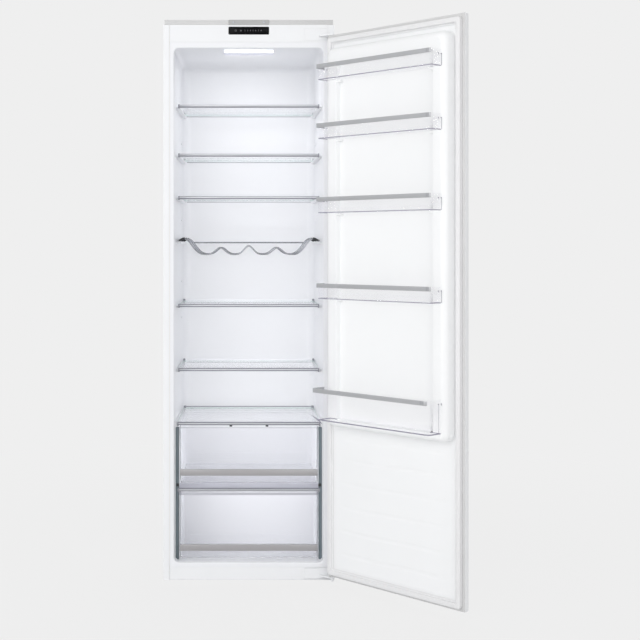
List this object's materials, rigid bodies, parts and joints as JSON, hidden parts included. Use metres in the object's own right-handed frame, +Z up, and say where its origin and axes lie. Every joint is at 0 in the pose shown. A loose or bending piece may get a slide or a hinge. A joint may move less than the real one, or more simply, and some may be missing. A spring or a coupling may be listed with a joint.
{
  "type": "column refrigerator",
  "caption": "Tall built-in larder refrigerator, right-hinged door open, with glass shelves, wavy bottle rack, two crisper drawers and clear door bins.",
  "frame": {"origin": "middle of the base plate's underside, on the surface the cabinet stands on", "axes": "+Z up, +X to the right seen from the front, where the door is hinged, and the front faces -Y"},
  "size_m": [0.8922, 0.9666, 1.77],
  "materials": {
    "white_steel": "satin",
    "zinc_steel": "satin",
    "black_enamel": "satin",
    "grey_bracket": "satin",
    "white_liner": "gloss",
    "white_trim": "satin",
    "display": "gloss",
    "lamp": "satin",
    "clear_plastic": "gloss",
    "smoked_plastic": "satin",
    "dark_plastic": "matte",
    "seal": "matte",
    "gasket": "matte",
    "glass": "gloss",
    "silver_trim": "satin",
    "taupe_band": "satin",
    "aluminium": "satin",
    "chrome": "polished",
    "foam": "matte"
  },
  "bodies": {
    "cabinet": {"side_panel_left": "white_steel", "side_panel_right": "white_steel", "top_panel": "zinc_steel", "back_panel": "zinc_steel", "base_plate": "zinc_steel", "bay_liner": "zinc_steel", "foam_insulation": "foam", "inner_liner": "white_liner", "top_fascia": "white_trim", "display_panel": "display", "top_seal_strip": "seal", "fixing_bracket": "grey_bracket", "plinth_strip": "white_steel", "lamp_lens": "lamp", "evaporator_plate": "aluminium", "control_board_box": "dark_plastic", "condenser_coil": "black_enamel", "compressor": "black_enamel", "start_relay": "dark_plastic", "mains_inlet_gland": "dark_plastic", "drip_tray": "dark_plastic", "upper_hinge": "zinc_steel", "lower_hinge": "zinc_steel", "hinge_cover": "white_trim", "crisper_guide_left": "smoked_plastic", "crisper_guide_right": "smoked_plastic", "drawer_divider": "clear_plastic"},
    "levelling_foot_left": {"levelling_foot_left": "dark_plastic"},
    "levelling_foot_right": {"levelling_foot_right": "dark_plastic"},
    "shelf_1": {"shelf_glass_1": "glass", "shelf_trim_1": "silver_trim"},
    "shelf_2": {"shelf_glass_2": "glass", "shelf_trim_2": "silver_trim"},
    "shelf_3": {"shelf_glass_3": "glass", "shelf_trim_3": "silver_trim"},
    "shelf_4": {"shelf_glass_4": "glass", "shelf_trim_4": "silver_trim"},
    "shelf_5": {"shelf_glass_5": "glass", "shelf_trim_5": "silver_trim"},
    "crisper_lid": {"crisper_lid_glass": "glass", "crisper_lid_trim": "silver_trim"},
    "bottle_rack": {"bottle_rack": "chrome"},
    "upper_drawer": {"upper_drawer": "clear_plastic", "upper_drawer_band": "taupe_band"},
    "lower_drawer": {"lower_drawer": "clear_plastic", "lower_drawer_band": "taupe_band"},
    "door": {"door_outer_panel": "white_steel", "door_foam": "foam", "door_inner_liner": "white_liner", "door_gasket": "gasket"},
    "door_bin_1": {"door_bin_1": "clear_plastic", "bin_trim_1": "silver_trim"},
    "door_bin_2": {"door_bin_2": "clear_plastic", "bin_trim_2": "silver_trim"},
    "door_bin_3": {"door_bin_3": "clear_plastic", "bin_trim_3": "silver_trim"},
    "door_bin_4": {"door_bin_4": "clear_plastic", "bin_trim_4": "silver_trim"},
    "door_bin_5": {"door_bin_5": "clear_plastic", "bin_trim_5": "silver_trim"}
  },
  "joints": [
    {"name": "door_hinge", "type": "hinge", "parent": "cabinet", "child": "door", "pos_m": [0.262, -0.275, 0], "axis": [0, 0, 1], "range_deg": [-132.2, 0]},
    {"name": "levelling_foot_left_screw", "type": "slide", "parent": "cabinet", "child": "levelling_foot_left", "axis": [0, 0, -1], "range_m": [0, 0.012]},
    {"name": "levelling_foot_right_screw", "type": "slide", "parent": "cabinet", "child": "levelling_foot_right", "axis": [0, 0, -1], "range_m": [0, 0.012]},
    {"name": "shelf_1_slide", "type": "slide", "parent": "cabinet", "child": "shelf_1", "axis": [0, -1, 0], "range_m": [0, 0.18]},
    {"name": "shelf_2_slide", "type": "slide", "parent": "cabinet", "child": "shelf_2", "axis": [0, -1, 0], "range_m": [0, 0.18]},
    {"name": "shelf_3_slide", "type": "slide", "parent": "cabinet", "child": "shelf_3", "axis": [0, -1, 0], "range_m": [0, 0.18]},
    {"name": "shelf_4_slide", "type": "slide", "parent": "cabinet", "child": "shelf_4", "axis": [0, -1, 0], "range_m": [0, 0.18]},
    {"name": "shelf_5_slide", "type": "slide", "parent": "cabinet", "child": "shelf_5", "axis": [0, -1, 0], "range_m": [0, 0.18]},
    {"name": "crisper_lid_slide", "type": "slide", "parent": "cabinet", "child": "crisper_lid", "axis": [0, -1, 0], "range_m": [0, 0.18]},
    {"name": "bottle_rack_slide", "type": "slide", "parent": "cabinet", "child": "bottle_rack", "axis": [0, -1, 0], "range_m": [0, 0.18]},
    {"name": "upper_drawer_slide", "type": "slide", "parent": "cabinet", "child": "upper_drawer", "axis": [0, -1, 0], "range_m": [0, 0.3]},
    {"name": "lower_drawer_slide", "type": "slide", "parent": "cabinet", "child": "lower_drawer", "axis": [0, -1, 0], "range_m": [0, 0.18]},
    {"name": "door_bin_1_lift", "type": "slide", "parent": "door", "child": "door_bin_1", "axis": [0, 0, 1], "range_m": [0, 0.015]},
    {"name": "door_bin_2_lift", "type": "slide", "parent": "door", "child": "door_bin_2", "axis": [0, 0, 1], "range_m": [0, 0.03]},
    {"name": "door_bin_3_lift", "type": "slide", "parent": "door", "child": "door_bin_3", "axis": [0, 0, 1], "range_m": [0, 0.03]},
    {"name": "door_bin_4_lift", "type": "slide", "parent": "door", "child": "door_bin_4", "axis": [0, 0, 1], "range_m": [0, 0.03]},
    {"name": "door_bin_5_lift", "type": "slide", "parent": "door", "child": "door_bin_5", "axis": [0, 0, 1], "range_m": [0, 0.03]}
  ]
}
